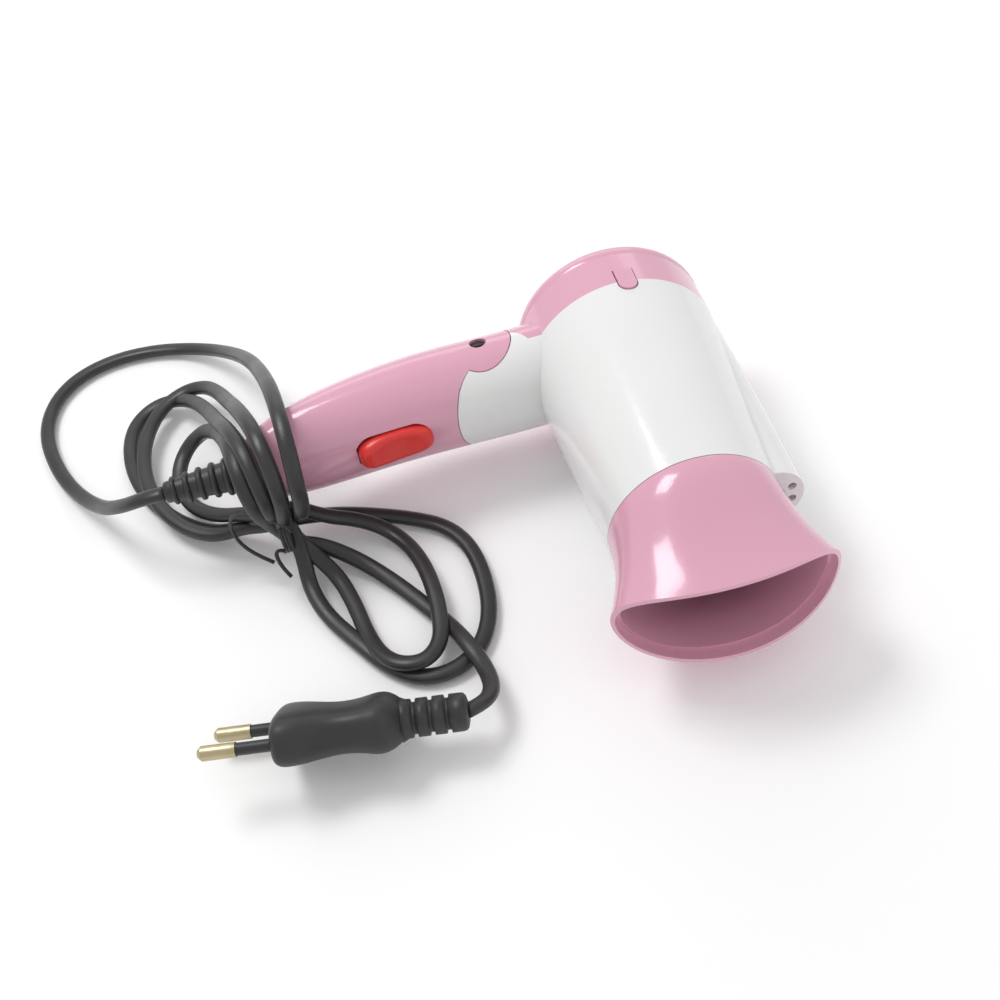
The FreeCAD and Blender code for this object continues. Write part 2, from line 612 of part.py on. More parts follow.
# ---- cord, tie and plug -------------------------------------------------------------------------
def makeHank():
    """Bow-tied hank: lobes on the surface, and the turns that rise over the strain relief."""
    left = prism([(-120, -12), (-138, -5), (-151, 9), (-158, 27), (-160.5, 47), (-157, 63), (-147, 70.5),
                  (-134, 66.5), (-124, 50), (-117.5, 26), (-117.5, 0)], 0.0, 9.0)
    right = prism([(-100, -8), (-88, -9.5), (-76, -11.5), (-64, -19.5), (-56.5, -33), (-55, -50),
                   (-58, -66), (-65, -77), (-75, -80), (-88, -78), (-96, -69), (-103, -53),
                   (-110.5, -44), (-112, -30), (-109, -18)], 0.0, 9.0)
    overRelief = [(30, 4), (30, 11), (11, 35), (-5, 42.4), (-19, 40.4), (-24.6, 28), (-19, 3),
                  (-10, 3), (-18.6, 25), (-15.6, 35), (-5.5, 37.2), (7, 30.5), (22, 9), (22, 4)]
    corners = [V(-129.5, y, z) for y, z in overRelief]
    strap = Part.Face(Part.makePolygon(corners + corners[:1])).extrude(V(12.0, 0, 0))
    waist = rodX(6.3, -120.0, -104.0, TIE.y, TIE.z)
    shoulder = block(-108.5, -96.0, -18.0, -5.5, 3.0, 13.5)
    foot = block(-129.5, -117.6, -19.0, -5.0, 3.0, 13.5)
    return fuseAll([left, right, strap, waist, shoulder, foot])


def makeTie():
    band = rodX(7.2, TIE.x - 1.2, TIE.x + 1.2, TIE.y, TIE.z)
    return band.cut(rodX(6.3, TIE.x - 3, TIE.x + 3, TIE.y, TIE.z))


def roundedRect(x, halfW, halfT, corner):
    """Rounded rectangle across the plug, in the plug's own frame (length along X)."""
    w, t, c = halfW, halfT, corner
    k = c * (1 - math.sqrt(0.5))
    p = [V(x, -w + c, -t), V(x, w - c, -t), V(x, w, -t + c), V(x, w, t - c),
         V(x, w - c, t), V(x, -w + c, t), V(x, -w, t - c), V(x, -w, -t + c)]
    m = [V(x, w - k, -t + k), V(x, w - k, t - k), V(x, -w + k, t - k), V(x, -w + k, -t + k)]
    edges = []
    for i in range(4):
        a, b = p[2 * i], p[2 * i + 1]
        edges.append(line(a, b))
        edges.append(arc(b, m[i], p[(2 * i + 2) % 8]))
    return Part.Wire(edges)


def placePlug(shape):
    shape.rotate(V(0, 0, 0), V(1, 0, 0), PLUG_ROLL)
    shape.rotate(V(0, 0, 0), V(0, 0, 1), PLUG_YAW)
    shape.translate(PLUG_START)
    return shape


def makePlug():
    bootEnd, bodyEnd, sleeveEnd, pinEnd = 18.0, 50.5, 59.5, 69.5
    stations = [(16.5, 4.6, 4.4, 2.0), (19.5, 9.2, 6.6, 3.0), (23.0, 11.2, 7.3, 3.4), (27.0, 10.2, 6.7, 3.2),
                (33.0, 9.7, 6.2, 3.0), (39.0, 10.8, 6.6, 3.0), (45.5, 13.4, 7.2, 3.2), (48.6, 13.4, 6.9, 3.0),
                (bodyEnd, 11.4, 5.0, 2.0)]
    body = Part.makeLoft([roundedRect(*s) for s in stations], True, False)
    boot = Part.makeCone(3.6, 4.6, bootEnd, V(0, 0, 0), V(1, 0, 0))
    for x in (3.4, 7.8, 12.2):
        for side in (1, -1):
            notch = Part.makeBox(1.3, 12, 3.0, V(x, -6, side * 3.6 - (3.0 if side < 0 else 0)))
            boot = boot.cut(notch)
    bore = Part.makeCylinder(CORD_D / 2, 7, V(-1, 0, 0), V(1, 0, 0))
    body = body.fuse(boot).cut(bore)
    pins = []
    sleeves = []
    for side in (-PIN_SPACING / 2, PIN_SPACING / 2):
        core = Part.makeCylinder(1.4, sleeveEnd - bodyEnd + 6, V(bodyEnd - 6, side, 0), V(1, 0, 0))
        tip = Part.makeCylinder(PIN_R, pinEnd - 1.0 - sleeveEnd, V(sleeveEnd, side, 0), V(1, 0, 0))
        nose = Part.makeCone(PIN_R, 1.1, 1.0, V(pinEnd - 1.0, side, 0), V(1, 0, 0))
        pins.append(fuseAll([core, tip, nose]))
        sleeve = Part.makeCylinder(1.7, sleeveEnd - bodyEnd, V(bodyEnd, side, 0), V(1, 0, 0))
        sleeves.append(sleeve.cut(Part.makeCylinder(1.4, 20, V(bodyEnd - 1, side, 0), V(1, 0, 0))))
        body = body.cut(Part.makeCylinder(1.4, 6, V(bodyEnd - 6, side, 0), V(1, 0, 0)))
    return placePlug(body.removeSplitter()), placePlug(Part.makeCompound(pins)), placePlug(Part.makeCompound(sleeves))


# ---- the whole object ------------------------------------------------------------------------------
def build():
    nodes = {}
    nodes["body_shell"], nodes["rear_cover"] = makeBarrel()
    nodes["cover_clips"] = makeCoverClips()
    nodes["intake_grille"] = makeIntakeGrille()
    nodes["lint_screen"] = rodY(24.4, 14.4, 14.8)
    nodes["outlet_grille"] = makeOutletGrille()
    sleeve, boardA, boardB, coil = makeHeater()
    nodes["heater_sleeve"] = sleeve
    nodes["mica_board_a"] = boardA
    nodes["mica_board_b"] = boardB
    nodes["heater_coil"] = coil
    nodes["thermostat"] = makeThermostat()
    nodes["thermal_fuse"] = makeThermalFuse()
    nodes["motor_mount"] = makeMotorMount()
    nodes["motor"] = makeMotor()
    nodes["rectifier_board"], nodes["diodes"] = makeRectifier()
    nodes["neck_leads"] = makeNeckLeads()
    nodes["motor_shaft"] = makeShaft()
    nodes["fan"] = makeFan()
    nodes["nozzle"] = makeNozzle()
    nodes["handle_upper"], nodes["handle_lower"] = makeHandleHalves()
    nodes["handle_screws"] = makeHandleScrews()
    nodes["hinge_screws"] = makeHingeScrews()
    nodes["switch_rocker"] = makeRocker()
    nodes["switch_body"] = makeSwitchBody()
    nodes["handle_leads"] = makeHandleLeads()
    nodes["strain_relief"] = makeStrainRelief()
    nodes["inner_cord"] = makeInnerCord()
    nodes["cord_clamp"] = makeCordClamp()
    nodes["clamp_screw"] = makeClampScrew()
    nodes["cord_lead"] = cordTube(CORD_LEAD, CORD_D, "cord_lead")
    nodes["cord_hank"] = makeHank()
    nodes["cord_tail"] = cordTube(CORD_TAIL, CORD_D, "cord_tail")
    nodes["cord_tie"] = makeTie()
    nodes["plug_body"], nodes["plug_pins"], nodes["plug_sleeves"] = makePlug()
    return nodes


os.makedirs("parts", exist_ok=True)
for name, shape in build().items():
    shape.translate(ORIGIN)
    box = shape.BoundBox
    print(name, shape.isValid(), len(shape.Solids), "solids", round(shape.Volume, 1),
          [round(v, 1) for v in (box.XMin, box.YMin, box.ZMin, box.XMax, box.YMax, box.ZMax)])
    shape.exportStep(os.path.join("parts", name + ".step"))
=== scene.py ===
import bmesh
import bpy
import math
from mathutils import Matrix, Vector


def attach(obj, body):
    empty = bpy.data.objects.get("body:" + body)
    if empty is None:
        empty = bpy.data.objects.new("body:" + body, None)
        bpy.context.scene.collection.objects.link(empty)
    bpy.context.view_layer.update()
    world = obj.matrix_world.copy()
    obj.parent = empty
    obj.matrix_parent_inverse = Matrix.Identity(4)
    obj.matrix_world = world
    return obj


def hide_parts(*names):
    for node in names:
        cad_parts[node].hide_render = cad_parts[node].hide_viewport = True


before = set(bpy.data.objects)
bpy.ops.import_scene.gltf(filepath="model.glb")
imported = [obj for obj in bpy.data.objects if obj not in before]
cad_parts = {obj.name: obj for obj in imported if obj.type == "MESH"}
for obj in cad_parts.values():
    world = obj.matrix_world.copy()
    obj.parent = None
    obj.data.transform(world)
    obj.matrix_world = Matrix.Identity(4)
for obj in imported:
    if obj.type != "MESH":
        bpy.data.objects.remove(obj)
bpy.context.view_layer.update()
print("frame loaded,", len(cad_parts), "nodes")

# on the table, under the barrel's axis and the cover's front edge
barrelSpot = Vector((0.055, 0.0418, 0.0))
axisHeight = 29.3


def spot(x, y, z):
    # a place in millimetres from barrelSpot, as metres in the row's frame
    return Vector((x, y, z)) * 0.001 + barrelSpot


camera = {"target": (-46.2, -16.77, 0.0), "azimuth": -4.81, "height": 47.76, "roll": -11.25,
          "distance": 441.85, "lens": 52.0}


def makeCamera(look):
    azimuth, height, roll = (math.radians(look[key]) for key in ("azimuth", "height", "roll"))
    back = Vector((math.sin(azimuth) * math.cos(height), -math.cos(azimuth) * math.cos(height),
                   math.sin(height)))
    right = Vector((math.cos(azimuth), math.sin(azimuth), 0.0))
    up = back.cross(right)
    across = right * math.cos(roll) + up * math.sin(roll)
    upright = up * math.cos(roll) - right * math.sin(roll)
    turn = Matrix((across, upright, back)).transposed().to_4x4()
    made = bpy.data.objects.new("camera", bpy.data.cameras.new("camera"))
    made.data.sensor_width = 36.0
    made.data.lens = look["lens"]
    made.data.clip_start = 0.01
    place = spot(*look["target"]) + back * look["distance"] * 0.001
    made.matrix_world = Matrix.Translation(place) @ turn
    bpy.context.scene.collection.objects.link(made)
    bpy.context.scene.camera = made


studio = {"backdrop": 0.74, "floor": (0.97, 0.97, 0.97), "grain": 0.985, "lights": {
    # place, size and power of each soft box, all aimed at the middle of the floor
    "key": ((-0.3, 0.3, 0.8), (0.36, 0.3), 3.1),
    "fill": ((0.6, -0.5, 0.5), (0.6, 0.5), 0.5),
    "rim": ((0.1, 0.7, 0.35), (0.7, 0.2), 0.5)}}


def addLight(name, place, size, power):
    lamp = bpy.data.lights.new(name, "AREA")
    lamp.shape = "RECTANGLE"
    lamp.size, lamp.size_y = size
    lamp.energy = power
    made = bpy.data.objects.new(name, lamp)
    made.location = place
    made.rotation_mode = "QUATERNION"
    made.rotation_quaternion = (-Vector(place)).to_track_quat("-Z", "Y")
    bpy.context.scene.collection.objects.link(made)


def makeStudio(look):
    world = bpy.data.worlds.new("studio")
    world.use_nodes = True
    world.node_tree.nodes["Background"].inputs[0].default_value = (1.0, 1.0, 1.0, 1.0)
    world.node_tree.nodes["Background"].inputs[1].default_value = look["backdrop"]
    bpy.context.scene.world = world
    bpy.context.scene.view_settings.view_transform = "Standard"
    bpy.context.scene.view_settings.look = "None"
    for name, (place, size, power) in look["lights"].items():
        addLight(name, place, size, power)
    floor = meshPiece("floor", [(-3, -3, 0), (3, -3, 0), (3, 3, 0), (-3, 3, 0)], [(0, 1, 2, 3)])
    paint = Paint("floorPaper", {"Roughness": 0.8, "Specular IOR Level": 0.2})
    dim = tuple(c * look["grain"] for c in look["floor"])
    paint.feed("Base Color", paint.blend(paint.noise(6.0, 2.0), look["floor"], dim))
    floor.data.materials.append(paint.material)


class Wire:
    # a socket of a material that does sums: wire * 2 adds a Math node
    def __init__(self, paint, socket):
        self.paint = paint
        self.socket = socket

    def sums(self, operation, first, second):
        return self.paint.add("ShaderNodeMath", {"operation": operation}, {0: first, 1: second})

    def __add__(self, other):
        return self.sums("ADD", self, other)

    def __radd__(self, other):
        return self.sums("ADD", other, self)

    def __rsub__(self, other):
        return self.sums("SUBTRACT", other, self)

    def __mul__(self, other):
        return self.sums("MULTIPLY", self, other)

    def __rmul__(self, other):
        return self.sums("MULTIPLY", other, self)

    def __gt__(self, other):
        return self.sums("GREATER_THAN", self, other)


class Paint:
    def __init__(self, name, constants):
        self.material = bpy.data.materials.new(name)
        self.material.use_nodes = True
        self.tree = self.material.node_tree
        self.shader = self.tree.nodes["Principled BSDF"]
        for socket, value in constants.items():
            self.shader.inputs[socket].default_value = value
        self.place = self.add("ShaderNodeTexCoord", {}, {}, "Object")

    def add(self, kind, settings, sockets, output=0):
        node = self.tree.nodes.new(kind)
        for key, value in settings.items():
            setattr(node, key, value)
        for key, value in sockets.items():
            self.join(value, node.inputs[key])
        return Wire(self, node.outputs[output])

    def join(self, value, socket):
        if isinstance(value, Wire):
            self.tree.links.new(value.socket, socket)
        elif isinstance(value, tuple) and len(value) == 3 and socket.type == "RGBA":
            socket.default_value = (*value, 1.0)
        else:
            socket.default_value = value

    def feed(self, name, value):
        self.join(value, self.shader.inputs[name])

    def noise(self, scale, detail, stretch=(1.0, 1.0, 1.0), turn=(0.0, 0.0, 0.0)):
        place = self.add("ShaderNodeMapping", {}, {"Vector": self.place, "Scale": stretch, "Rotation": turn})
        return self.add("ShaderNodeTexNoise", {}, {"Vector": place, "Scale": scale, "Detail": detail})

    def step(self, value, low, high):
        # 0 below low, 1 above high
        return self.add("ShaderNodeMapRange", {"clamp": True}, {"Value": value, 1: low, 2: high})

    def blend(self, share, first, second):
        return self.add("ShaderNodeMix", {"data_type": "RGBA"}, {0: share, 6: first, 7: second}, 2)

    def bump(self, height, distance):
        sockets = {"Height": height, "Distance": distance, "Strength": 1.0}
        self.feed("Normal", self.add("ShaderNodeBump", {}, sockets, "Normal"))


def glossPlastic(name, colour, shade, roughness, coat=0.0):
    # moulded plastic: slow tint changes, hairline scuffs, an almost flat orange peel
    paint = Paint(name, {"Specular IOR Level": 0.5, "Coat Weight": coat, "Coat Roughness": 0.06})
    tint = paint.noise(35.0, 3.0)
    scuffs = paint.step(paint.noise(240.0, 2.0, (1.0, 0.06, 1.0), (0.3, 0.2, 0.7)), 0.66, 0.78)
    smears = paint.step(paint.noise(60.0, 4.0, (1.0, 1.0, 0.5)), 0.4, 0.75)
    dust = paint.step(paint.noise(2600.0, 1.0), 0.74, 0.8)
    clean = paint.blend(tint, colour, shade)
    pale = tuple(min(1.0, c * 0.7 + 0.25) for c in shade)
    paint.feed("Base Color", paint.blend(dust * 0.25, clean, pale))
    paint.feed("Roughness", roughness + smears * 0.07 + scuffs * 0.12)
    paint.bump(paint.noise(420.0, 2.0) + paint.noise(30.0, 1.0) * 2.0, 0.00003)
    return paint.material


def rubberSkin(name, colour, worn, roughness):
    # soft vinyl: fine grain, greyer where it has been handled
    paint = Paint(name, {"Specular IOR Level": 0.45, "Coat Weight": 0.12, "Coat Roughness": 0.35})
    handled = paint.step(paint.noise(90.0, 4.0), 0.42, 0.72)
    specks = paint.step(paint.noise(1900.0, 1.0), 0.7, 0.8)
    paint.feed("Base Color", paint.blend(handled * 0.6 + specks * 0.4, colour, worn))
    paint.feed("Roughness", roughness + handled * 0.12)
    paint.bump(paint.noise(1500.0, 2.0) + paint.noise(140.0, 2.0) * 1.5, 0.00004)
    return paint.material


def metalSkin(name, colour, shade, roughness, stretch=(1.0, 1.0, 12.0)):
    # drawn or turned metal: fine lines one way and dull patches
    paint = Paint(name, {"Specular IOR Level": 0.5})
    lines = paint.noise(800.0, 2.0, stretch)
    dull = paint.step(paint.noise(160.0, 3.0), 0.45, 0.7)
    paint.feed("Metallic", 1.0 - dull * 0.2)
    paint.feed("Base Color", paint.blend(dull, colour, shade))
    paint.feed("Roughness", roughness + lines * 0.15 + dull * 0.12)
    paint.bump(lines, 0.00003)
    return paint.material


def mattePlastic(name, colour, shade, roughness):
    # spark-eroded texture, as on inner parts
    paint = Paint(name, {"Specular IOR Level": 0.4})
    tint = paint.noise(70.0, 3.0)
    pits = paint.noise(2200.0, 2.0)
    paint.feed("Base Color", paint.blend(tint, colour, shade))
    paint.feed("Roughness", roughness + pits * 0.12)
    paint.bump(pits, 0.00006)
    return paint.material


def screenMesh(name, colour, pitch):
    # woven wire screen: square holes cut by Alpha
    paint = Paint(name, {"Metallic": 0.9, "Specular IOR Level": 0.5})
    wires = []
    for way in ("X", "Z"):
        place = paint.add("ShaderNodeSeparateXYZ", {}, {0: paint.place}, way)
        phase = paint.add("ShaderNodeMath", {"operation": "FRACT"}, {0: place * (1.0 / pitch)})
        wires.append(phase > 0.66)
    paint.feed("Alpha", paint.add("ShaderNodeMath", {"operation": "MAXIMUM"}, {0: wires[0], 1: wires[1]}))
    shade = tuple(c * 0.6 for c in colour)
    paint.feed("Base Color", paint.blend(paint.noise(300.0, 2.0), colour, shade))
    paint.feed("Roughness", 0.35 + paint.noise(500.0, 2.0) * 0.2)
    return paint.material


def meshPiece(name, points, faces, paint=None):
    mesh = bpy.data.meshes.new(name)
    mesh.from_pydata([tuple(p) for p in points], [], faces)
    mesh.update()
    made = bpy.data.objects.new(name, mesh)
    bpy.context.scene.collection.objects.link(made)
    if paint:
        mesh.materials.append(paint)
    for face in mesh.polygons:
        face.use_smooth = True
    return made


def sweep(rows):
    # rows of points, each a ring, joined into one skin with closed ends
    around = len(rows[0])
    points = [p for row in rows for p in row]
    faces = []
    for i in range(len(rows) - 1):
        for j in range(around):
            k = (j + 1) % around
            faces.append((i * around + j, i * around + k, (i + 1) * around + k, (i + 1) * around + j))
    faces.append(tuple(reversed(range(around))))
    faces.append(tuple((len(rows) - 1) * around + j for j in range(around)))
    return points, faces


def facesOut(made):
    work = bmesh.new()
    work.from_mesh(made.data)
    bmesh.ops.recalc_face_normals(work, faces=work.faces)
    work.to_mesh(made.data)
    work.free()
    made.data.update()


cord = {"width": 0.0048, "thickness": 0.0033, "sides": 16, "fineness": 6, "corner": 0.85, "levelling": 0.06}
# millimetres from barrelSpot, like every list of points here
lead = [
    (-141.0, -6.9, 29.3), (-147.0, -6.9, 29.3), (-156.5, -1.5, 23.0), (-166.0, 13.0, 10.5),
    (-176.0, 30.0, 3.6), (-182.5, 46.0, 2.3), (-185.5, 62.5, 2.4), (-182.5, 77.0, 2.3),
    (-174.0, 87.0, 2.4), (-161.0, 92.0, 2.3), (-146.5, 91.5, 2.4), (-132.0, 86.0, 3.2),
    (-119.5, 71.5, 10.0), (-110.5, 46.5, 25.0), (-104.6, 14.0, 43.0), (-102.4, -6.0, 50.5),
    (-101.8, -18.0, 48.5), (-102.0, -26.0, 41.5), (-102.4, -28.5, 33.0), (-103.8, -25.0, 24.0)]
# each turn to the left leaves the tie low down, rounds the loose end and comes back over the handle's tip
leftTurns = [
    [(-123.0, -6.0, 6.5), (-134.0, -2.5, 3.4), (-145.2, 7.5, 2.6), (-153.5, 21.0, 2.6),
     (-157.2, 34.5, 2.6), (-157.4, 46.5, 2.6), (-154.6, 56.0, 2.6), (-148.0, 61.6, 3.0),
     (-139.8, 59.8, 5.2), (-132.8, 50.5, 10.5), (-127.5, 34.5, 19.5), (-123.0, 16.0, 31.0),
     (-118.6, 0.0, 41.0), (-115.2, -11.0, 43.4), (-113.4, -19.8, 40.5), (-112.4, -24.6, 34.0),
     (-111.8, -25.0, 27.0)],
    [(-123.0, -9.5, 9.5), (-132.5, -7.5, 6.6), (-141.7, -0.5, 6.0), (-148.6, 10.8, 6.0),
     (-152.4, 24.5, 6.0), (-152.4, 37.0, 6.0), (-149.4, 48.5, 6.0), (-144.0, 57.0, 6.2),
     (-136.2, 61.0, 7.0), (-128.8, 57.5, 9.6), (-123.8, 46.0, 15.5), (-119.6, 28.5, 26.5),
     (-115.2, 9.0, 40.0), (-111.0, -7.5, 47.0), (-108.8, -18.5, 45.6), (-107.8, -25.8, 38.5),
     (-108.0, -26.8, 30.5), (-109.4, -24.6, 23.5)],
    [(-122.0, -7.0, 12.5), (-131.0, -0.5, 8.0), (-138.0, 7.0, 6.0), (-141.2, 15.5, 6.0), (-141.6, 24.5, 6.6),
     (-137.2, 31.2, 9.4), (-130.4, 30.0, 15.4), (-125.6, 19.5, 24.0), (-122.2, 7.0, 33.5), (-119.4, -4.5, 39.6),
     (-118.2, -15.0, 40.4), (-117.2, -22.0, 35.5), (-115.6, -24.2, 28.0), (-113.2, -22.6, 21.5)]]
# each turn to the right drops in front of the handle and comes back along its side of the hank
rightTurns = [
    [(-107.2, -26.5, 8.6), (-107.6, -34.0, 3.6), (-104.4, -45.5, 2.6), (-97.0, -58.0, 2.6), (-90.6, -68.5, 2.6),
     (-82.5, -75.8, 2.6), (-72.5, -76.4, 2.6), (-63.6, -70.6, 2.6), (-58.6, -59.5, 2.6), (-57.4, -46.0, 2.6),
     (-59.0, -33.0, 2.6), (-64.4, -23.4, 2.6), (-73.6, -17.4, 3.0), (-84.5, -14.2, 5.5), (-95.5, -13.5, 9.5)],
    [(-104.2, -26.0, 8.6), (-98.6, -33.5, 4.0), (-95.8, -44.5, 3.0), (-94.2, -56.0, 3.2), (-91.4, -66.2, 4.6),
     (-86.4, -72.0, 5.9), (-79.4, -73.0, 6.0), (-74.2, -67.8, 5.9), (-72.6, -58.0, 6.0), (-72.6, -47.5, 6.2),
     (-74.0, -36.5, 5.4), (-77.4, -26.5, 4.2), (-83.0, -19.8, 5.6), (-90.0, -16.8, 8.4), (-98.0, -16.2, 12.0)]]
tail = [
    (-102.6, -22.8, 8.4), (-96.6, -25.4, 5.6), (-90.0, -31.0, 3.6), (-83.0, -40.0, 2.7), (-76.2, -51.0, 2.7),
    (-70.6, -61.5, 3.6), (-67.8, -69.5, 6.0), (-65.2, -77.0, 6.0), (-63.9, -84.5, 7.0), (-64.4, -91.0, 9.6),
    (-67.6, -95.8, 12.2), (-72.5, -97.8, 13.6)]
tie = {"middle": (-109.6, -16.6, 15.6), "turns": 4, "halfWide": 7.6, "halfHigh": 8.4, "spacing": 1.0,
       "shift": (-0.6, -2.2), "startAngle": -2.9, "steps": 10, "wire": 0.0013, "fineness": 4,
       # both ends from the tie's middle; the long one stands off the bundle in a loop
       "shortEnd": [(-2.5, -13.5, -10.0), (-4.5, -11.5, -7.0), (-5.0, -10.5, -1.0)],
       "longEnd": [(1.5, -9.5, 6.5), (-4.0, -9.0, 11.5), (-9.5, -5.0, 13.5), (-15.0, -2.0, 9.5),
                   (-16.0, -1.5, 0.5), (-12.5, -4.0, -6.0), (-6.5, -8.5, -7.5)]}
lowSeats = [(1.8, 1.0), (2.2, -2.6), (1.4, 3.4)]  # the strands that pass the tie from right to left
highSeats = [(-2.4, 4.2), (-2.6, 0.8), (-2.2, -2.6)]  # and those that come down through it


def leftward(index):
    x, y, z = tie["middle"]
    dy, dz = lowSeats[index]
    return [(x + 3.0, y + dy - 1.0, z + dz + 1.0), (x - 5.6, y + dy + 1.0, z + dz - 1.4)]


def downward(index):
    x, y, z = tie["middle"]
    dy, dz = highSeats[index]
    return [(x - 1.4, y + dy - 2.4, z + dz + 2.4), (x + 1.6, y + dy - 3.0, z + dz - 3.0)]


def cordRoute():
    route = list(lead)
    for i in range(3):
        route += leftward(i) + leftTurns[i] + downward(i)
        if i < 2:
            route += rightTurns[i]
    return route + tail


def smoothLine(name, points, fineness):
    # the curve's own line through its control points, as a list of points
    curve = bpy.data.curves.new(name, "CURVE")
    curve.dimensions = "3D"
    spline = curve.splines.new("NURBS")
    spline.points.add(len(points) - 1)
    for knot, place in zip(spline.points, points):
        knot.co = (*place, 1.0)
    spline.order_u = 3
    spline.use_endpoint_u = True
    spline.resolution_u = fineness
    holder = bpy.data.objects.new(name, curve)
    bpy.context.scene.collection.objects.link(holder)
    bpy.context.view_layer.update()
    mesh = bpy.data.meshes.new_from_object(holder.evaluated_get(bpy.context.evaluated_depsgraph_get()))
    found = [v.co.copy() for v in mesh.vertices]
    bpy.data.meshes.remove(mesh)
    bpy.data.objects.remove(holder)
    return found


def flatTube(name, line, width, thickness, sides, paint):
    # an oval section carried along the line, its wide way kept level where it can be
    rows = []
    side = None
    for i, here in enumerate(line):
        ahead = line[min(i + 1, len(line) - 1)] - line[max(i - 1, 0)]
        ahead.normalize()
        level = Vector((0, 0, 1)).cross(ahead)
        if side is None:
            side = level.normalized() if level.length > 0.1 else Vector((1, 0, 0))
        side = (side - ahead * side.dot(ahead)).normalized()
        if level.length > 0.5:
            pull = level.normalized() * (1 if level.dot(side) > 0 else -1)
            side = side.lerp(pull, cord["levelling"]).normalized()
        lift = ahead.cross(side)
        row = []
        for j in range(sides):
            turn = 2 * math.pi * j / sides
            c, s = math.cos(turn), math.sin(turn)
            row.append(here + side * (width / 2 * math.copysign(abs(c) ** cord["corner"], c))
                       + lift * (thickness / 2 * math.copysign(abs(s) ** cord["corner"], s)))
        rows.append(row)
    return meshPiece(name, *sweep(rows), paint)


def lineLength(line):
    return sum((b - a).length for a, b in zip(line, line[1:]))


class Grower:
    # builds one geometry tree: named inputs, a chain of nodes, and a plain mesh at the end
    def __init__(self, name, inputs):
        self.tree = bpy.data.node_groups.new(name, "GeometryNodeTree")
        self.tree.interface.new_socket("Geometry", in_out="OUTPUT", socket_type="NodeSocketGeometry")
        self.values = inputs
        for label, value in inputs.items():
            kind = {int: "NodeSocketInt", float: "NodeSocketFloat", tuple: "NodeSocketVector"}[type(value)]
            self.tree.interface.new_socket(label, in_out="INPUT", socket_type=kind)
        self.start = self.tree.nodes.new("NodeGroupInput")

    def __getitem__(self, label):
        return self.start.outputs[label]

    def add(self, kind, settings, sockets):
        node = self.tree.nodes.new(kind)
        for key, value in settings.items():
            setattr(node, key, value)
        for key, value in sockets.items():
            if isinstance(value, bpy.types.NodeSocket):
                self.tree.links.new(value, node.inputs[key])
            elif isinstance(value, list):
                for one in value:
                    self.tree.links.new(one, node.inputs[key])
            else:
                node.inputs[key].default_value = value
        return node.outputs[0]

    def sums(self, operation, first, second):
        return self.add("ShaderNodeMath", {"operation": operation}, {0: first, 1: second})

    def vector(self, x, y, z):
        return self.add("ShaderNodeCombineXYZ", {}, {0: x, 1: y, 2: z})

    def mesh(self, name, shape, paint):
        smooth = self.add("GeometryNodeSetShadeSmooth", {}, {"Geometry": shape})
        plain = self.add("GeometryNodeRealizeInstances", {}, {"Geometry": smooth})
        painted = self.add("GeometryNodeSetMaterial", {}, {"Geometry": plain, "Material": paint})
        end = self.tree.nodes.new("NodeGroupOutput")
        self.tree.links.new(painted, end.inputs[0])
        holder = meshPiece(name + "Seed", [], [])
        grown = holder.modifiers.new("grow", "NODES")
        grown.node_group = self.tree
        for item in self.tree.interface.items_tree:
            if item.in_out == "INPUT":
                grown[item.identifier] = self.values[item.name]
        holder.update_tag()
        bpy.context.view_layer.update()
        seen = holder.evaluated_get(bpy.context.evaluated_depsgraph_get())
        made = bpy.data.objects.new(name, bpy.data.meshes.new_from_object(seen))
        holder.modifiers.remove(grown)
        bpy.data.objects.remove(holder)
        bpy.context.scene.collection.objects.link(made)
        return made


def growRibs(name, inputs, paint):
    # a row of rings along X, shrinking from the first to the last
    grow = Grower(name, inputs)
    index = grow.add("GeometryNodeInputIndex", {}, {})
    line = grow.add("GeometryNodeMeshLine", {}, {"Count": grow["Count"],
                                                 "Offset": grow.vector(grow["Pitch"], 0.0, 0.0)})
    ring = grow.add("GeometryNodeCurvePrimitiveCircle", {}, {"Resolution": 40, "Radius": 1.0})
    wire = grow.add("GeometryNodeCurvePrimitiveCircle", {}, {"Resolution": 10, "Radius": grow["Wire"]})
    tube = grow.add("GeometryNodeCurveToMesh", {}, {"Curve": ring, "Profile Curve": wire})
    upright = grow.add("GeometryNodeTransform", {}, {"Geometry": tube, "Rotation": (0.0, math.pi / 2, 0.0)})
    size = grow.sums("ADD", grow["First Radius"], grow.sums("MULTIPLY", index, grow["Growth"]))
    rings = grow.add("GeometryNodeInstanceOnPoints", {}, {"Points": line, "Instance": upright,
                                                          "Scale": grow.vector(size, size, size)})
    placed = grow.add("GeometryNodeTransform", {}, {"Geometry": rings, "Translation": grow["Place"]})
    return grow.mesh(name, placed, paint)


intake = {"Rings": 5, "First Radius": 0.0054, "Ring Pitch": 0.00375, "Wire": 0.0007,
          "Spokes": 8, "Spoke Wire": 0.0008, "Top": 0.0199, "Sink": 6.6, "Hub": 0.0026,
          "Rim": 0.0235, "Rim Width": 0.0019, "Rim Height": 0.0026}


